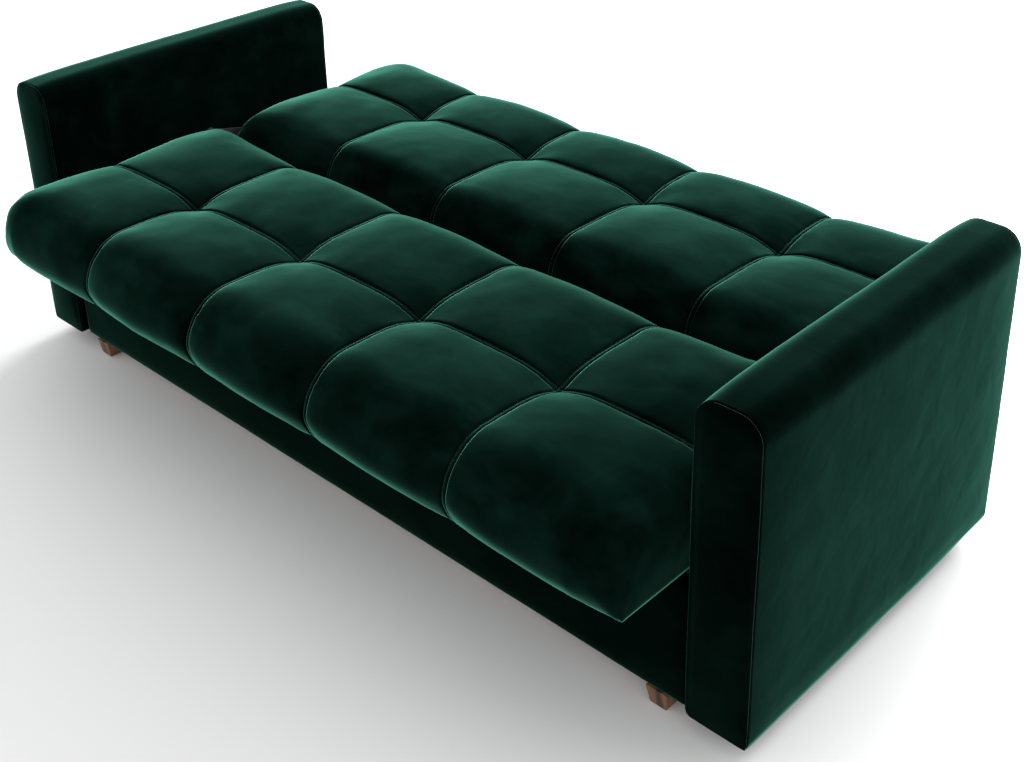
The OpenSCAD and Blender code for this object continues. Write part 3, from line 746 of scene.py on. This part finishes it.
def add(nodes, kind, **values):
    """A new node with the given inputs or properties."""
    n = nodes.new(kind)
    for key, value in values.items():
        if key in n.inputs:
            n.inputs[key].default_value = value
        else:
            setattr(n, key, value)
    return n


def mapped(nodes, links, scale):
    """Object coordinates, stretched by scale."""
    where = nodes.new("ShaderNodeTexCoord")
    mapping = nodes.new("ShaderNodeMapping")
    mapping.inputs["Scale"].default_value = scale
    links.new(where.outputs["Object"], mapping.inputs["Vector"])
    return mapping.outputs["Vector"]


def ramp(nodes, stops):
    """A colour ramp with the given places and colours."""
    r = nodes.new("ShaderNodeValToRGB")
    while len(r.color_ramp.elements) < len(stops):
        r.color_ramp.elements.new(0.5)
    for e, (at, colour) in zip(r.color_ramp.elements, stops):
        e.position = at
        e.color = (*colour, 1)
    return r


def velvet(name, sheen, depth):
    """Short-pile velvet: nearly black seen straight on, lighter at grazing angles, with cloudy nap.
    depth scales the colour seen straight on; below 1 it darkens that colour as painted shade."""
    m, nodes, links, shader = node_material(name)
    cloud = add(nodes, "ShaderNodeTexNoise", Scale=5.5, Detail=5.0, Roughness=0.55, Distortion=0.6)
    links.new(mapped(nodes, links, (1, 1, 1)), cloud.inputs["Vector"])
    brushed = add(nodes, "ShaderNodeTexNoise", Scale=9.0, Detail=2.5, Roughness=0.5, Distortion=0.4)
    links.new(mapped(nodes, links, (1.0, 1.8, 1.8)), brushed.inputs["Vector"])
    pile = add(nodes, "ShaderNodeTexNoise", Scale=1400.0, Detail=2.0, Roughness=0.6)
    links.new(mapped(nodes, links, (1, 1, 1)), pile.inputs["Vector"])
    mix = nodes.new("ShaderNodeMath")
    mix.operation = "MULTIPLY_ADD"
    links.new(brushed.outputs["Fac"], mix.inputs[0])
    mix.inputs[1].default_value = 0.35
    scaled = nodes.new("ShaderNodeMath")
    scaled.operation = "MULTIPLY"
    scaled.inputs[1].default_value = 0.65
    links.new(cloud.outputs["Fac"], scaled.inputs[0])
    links.new(scaled.outputs[0], mix.inputs[2])
    # with depth below 1 these colours are darkened as painted shade
    tone = ramp(
        nodes,
        (
            (0.36, (0.0001 * depth, 0.0008 * depth, 0.0006 * depth)),
            (0.50, (0.0008 * depth, 0.0040 * depth, 0.0029 * depth)),
            (0.64, (0.0022 * depth, 0.0095 * depth, 0.0069 * depth)),
        ),
    )
    links.new(mix.outputs[0], tone.inputs["Fac"])
    links.new(tone.outputs["Color"], shader.inputs["Base Color"])
    rough = nodes.new("ShaderNodeMapRange")
    rough.inputs["To Min"].default_value = 0.72
    rough.inputs["To Max"].default_value = 0.92
    links.new(brushed.outputs["Fac"], rough.inputs["Value"])
    links.new(rough.outputs["Result"], shader.inputs["Roughness"])
    shader.inputs["Specular IOR Level"].default_value = 0.0
    shader.inputs["Sheen Weight"].default_value = 1.0
    shader.inputs["Sheen Roughness"].default_value = 0.29
    shader.inputs["Sheen Tint"].default_value = (*sheen, 1)
    bump = add(nodes, "ShaderNodeBump", Strength=0.12, Distance=0.0004)
    links.new(pile.outputs["Fac"], bump.inputs["Height"])
    soft = add(nodes, "ShaderNodeBump", Strength=0.2, Distance=0.005)
    links.new(brushed.outputs["Fac"], soft.inputs["Height"])
    links.new(soft.outputs["Normal"], bump.inputs["Normal"])
    links.new(bump.outputs["Normal"], shader.inputs["Normal"])
    return m


def thread_material():
    """Twisted sewing thread."""
    m, nodes, links, shader = node_material("green thread")
    twist = add(nodes, "ShaderNodeTexWave", Scale=900.0, Distortion=1.0, Detail=1.0)
    links.new(mapped(nodes, links, (1, 1, 1)), twist.inputs["Vector"])
    tone = ramp(nodes, ((0.2, (0.004, 0.018, 0.013)), (0.8, (0.010, 0.045, 0.032))))
    links.new(twist.outputs["Fac"], tone.inputs["Fac"])
    links.new(tone.outputs["Color"], shader.inputs["Base Color"])
    shader.inputs["Roughness"].default_value = 0.6
    bump = add(nodes, "ShaderNodeBump", Strength=0.4, Distance=0.0002)
    links.new(twist.outputs["Fac"], bump.inputs["Height"])
    links.new(bump.outputs["Normal"], shader.inputs["Normal"])
    return m


def wood(name, dark, light, stretch, roughness):
    """Wood with long grain along the stretched axis, pores and a little gloss."""
    m, nodes, links, shader = node_material(name)
    at = mapped(nodes, links, stretch)
    grain = add(nodes, "ShaderNodeTexNoise", Scale=38.0, Detail=6.0, Roughness=0.62, Distortion=1.4)
    links.new(at, grain.inputs["Vector"])
    rings = add(nodes, "ShaderNodeTexWave", Scale=9.0, Distortion=7.0, Detail=3.0)
    rings.inputs["Detail Scale"].default_value = 1.6
    links.new(at, rings.inputs["Vector"])
    mix = nodes.new("ShaderNodeMix")
    mix.inputs["Factor"].default_value = 0.4
    links.new(grain.outputs["Fac"], mix.inputs["A"])
    links.new(rings.outputs["Fac"], mix.inputs["B"])
    tone = ramp(nodes, ((0.30, dark), (0.68, light)))
    links.new(mix.outputs["Result"], tone.inputs["Fac"])
    links.new(tone.outputs["Color"], shader.inputs["Base Color"])
    rough = nodes.new("ShaderNodeMapRange")
    rough.inputs["To Min"].default_value = roughness - 0.08
    rough.inputs["To Max"].default_value = roughness + 0.12
    links.new(grain.outputs["Fac"], rough.inputs["Value"])
    links.new(rough.outputs["Result"], shader.inputs["Roughness"])
    bump = add(nodes, "ShaderNodeBump", Strength=0.25, Distance=0.0005)
    links.new(grain.outputs["Fac"], bump.inputs["Height"])
    links.new(bump.outputs["Normal"], shader.inputs["Normal"])
    return m


def metal(name, dark, light, metallic, roughness, scale=60.0):
    """Coated or plated steel with faint mottling and handling marks."""
    m, nodes, links, shader = node_material(name)
    spots = add(nodes, "ShaderNodeTexNoise", Scale=scale, Detail=5.0, Roughness=0.6)
    links.new(mapped(nodes, links, (1, 1, 1)), spots.inputs["Vector"])
    tone = ramp(nodes, ((0.35, dark), (0.65, light)))
    links.new(spots.outputs["Fac"], tone.inputs["Fac"])
    links.new(tone.outputs["Color"], shader.inputs["Base Color"])
    shader.inputs["Metallic"].default_value = metallic
    rough = nodes.new("ShaderNodeMapRange")
    rough.inputs["To Min"].default_value = roughness - 0.07
    rough.inputs["To Max"].default_value = roughness + 0.15
    links.new(spots.outputs["Fac"], rough.inputs["Value"])
    links.new(rough.outputs["Result"], shader.inputs["Roughness"])
    bump = add(nodes, "ShaderNodeBump", Strength=0.12, Distance=0.0003)
    links.new(spots.outputs["Fac"], bump.inputs["Height"])
    links.new(bump.outputs["Normal"], shader.inputs["Normal"])
    return m


def dust_cloth():
    """Black non-woven cloth with a fine embossed grid."""
    m, nodes, links, shader = node_material("dust cloth")
    cells = add(nodes, "ShaderNodeTexVoronoi", Scale=420.0)
    links.new(mapped(nodes, links, (1, 1, 1)), cells.inputs["Vector"])
    tone = ramp(nodes, ((0.0, (0.010, 0.010, 0.011)), (0.7, (0.028, 0.028, 0.030))))
    links.new(cells.outputs["Distance"], tone.inputs["Fac"])
    links.new(tone.outputs["Color"], shader.inputs["Base Color"])
    shader.inputs["Roughness"].default_value = 0.85
    bump = add(nodes, "ShaderNodeBump", Strength=0.3, Distance=0.0004)
    links.new(cells.outputs["Distance"], bump.inputs["Height"])
    links.new(bump.outputs["Normal"], shader.inputs["Normal"])
    return m


# --- Build ---

velvet_m = velvet("green velvet", (0.155, 0.60, 0.425), 1.0)
shaded_velvet_m = velvet("green velvet with painted shade on the arms and base", (0.110, 0.41, 0.295), 0.35)  # darker copy of the mats' velvet, with lower sheen tint and base colour times 0.35: painted shade on the arms and base
thread_m = thread_material()
foot_m = wood("oiled beech", (0.035, 0.014, 0.005), (0.17, 0.078, 0.028), (1.0, 1.0, 0.12), 0.45)
board_m = wood("raw board", (0.36, 0.25, 0.14), (0.58, 0.44, 0.27), (0.2, 1.0, 1.0), 0.75)
slot_materials = {
    "velvet": velvet_m,
    "board": board_m,
    "foot_wood": foot_m,
    "fasteners": metal("zinc plating", (0.42, 0.42, 0.40), (0.62, 0.61, 0.58), 1.0, 0.32),
    "mechanism_steel": metal("dark grey coating", (0.008, 0.008, 0.009), (0.015, 0.016, 0.017), 0.0, 0.6),
    "spring_steel": metal("spring wire", (0.12, 0.115, 0.11), (0.24, 0.23, 0.22), 1.0, 0.40),
    "lining": dust_cloth(),
}
for part in frame["record"]["subparts"]:
    mesh = frame["nodes"][part["node"]].data
    mesh.materials.clear()
    mesh.materials.append(slot_materials[part["material_slot"]])

seat_mat = Mat(
    "seat_mat",
    "seat_cushion",
    "seat",
    SEAT_TUFT,
    radii=(0.112, 0.125, END_RADIUS),
    lows=(LOW_EDGE, 0.010),
    crowns=(CROWN_FRONT, CROWN_SIDE),
)
back_mat = Mat(
    "back_mat",
    "back_cushion",
    "back",
    BACK_TUFT,
    radii=(0.088, 0.110, END_RADIUS),
    lows=(0.076, LOW_EDGE),
    crowns=(CROWN_SIDE, CROWN_FRONT),
)
for mat in (seat_mat, back_mat):
    mat.build(velvet_m, thread_m)
padded_arm("left_arm", "left_arm_cover", "root", shaded_velvet_m, thread_m)
padded_arm("right_arm", "right_arm_cover", "root", shaded_velvet_m, thread_m)
padded_panel("base_front", "base_front_cover", "root", shaded_velvet_m, radius=0.012, crown=0.003)
padded_panel("base_rear", "base_rear_cover", "root", shaded_velvet_m, radius=0.003, crown=0.0004)
for side in ("front_left", "front_right", "rear_left", "rear_right"):
    wooden_foot(side + "_wood", side + "_foot", "root", foot_m)

# --- Floor, light and camera ---


def studio():
    """A pale floor and white surroundings."""
    size = FLOOR_HALF
    floor_m, nodes, links, shader = node_material("pale floor")
    grain = add(nodes, "ShaderNodeTexNoise", Scale=3.0, Detail=3.0)
    tone = ramp(nodes, ((0.3, (0.86, 0.86, 0.865)), (0.7, (0.89, 0.89, 0.89))))
    links.new(grain.outputs["Fac"], tone.inputs["Fac"])
    links.new(tone.outputs["Color"], shader.inputs["Base Color"])
    shader.inputs["Roughness"].default_value = 0.6
    corners = np.array([(-size, -size, 0), (size, -size, 0), (size, size, 0), (-size, size, 0)])
    floor = new_mesh("floor", corners, [[0, 1, 2, 3]], floor_m)
    world = bpy.data.worlds.new("soft white")
    bpy.context.scene.world = world
    world.use_nodes = True
    background = world.node_tree.nodes["Background"]
    background.inputs["Color"].default_value = (1, 1, 1, 1)
    background.inputs["Strength"].default_value = SKY


def area_light(name, at, target, size, power):
    """A rectangular light that faces the target."""
    data = bpy.data.lights.new(name, "AREA")
    data.shape = "RECTANGLE"
    data.size, data.size_y = size
    data.energy = power
    lamp = bpy.data.objects.new(name, data)
    bpy.context.scene.collection.objects.link(lamp)
    lamp.location = at
    lamp.rotation_euler = (Vector(target) - Vector(at)).to_track_quat("-Z", "Y").to_euler()


def camera():
    """Looks down from the right of the front, with a small shift for the framing."""
    pan, tilt, roll = CAMERA_TURN
    data = bpy.data.cameras.new("camera")
    data.sensor_width = 36.0
    data.lens = CAMERA_LENS
    data.shift_x, data.shift_y = CAMERA_SHIFT
    cam = bpy.data.objects.new("camera", data)
    bpy.context.scene.collection.objects.link(cam)
    cam.location = CAMERA_AT
    look = Vector((-math.sin(pan) * math.cos(tilt), math.cos(pan) * math.cos(tilt), math.sin(tilt)))
    turn = look.to_track_quat("-Z", "Y") @ Quaternion((0, 0, 1), roll)
    cam.rotation_euler = turn.to_euler()
    bpy.context.scene.camera = cam


studio()
area_light("rear", at=(-0.4, 4.4, 2.6), target=(0, 0.1, 0.4), size=(6.0, 2.4), power=640)
area_light("side", at=(4.2, 1.6, 2.2), target=(0.8, 0, 0.3), size=(2.0, 2.0), power=24)
bpy.context.scene.view_settings.view_transform = "Standard"
camera()
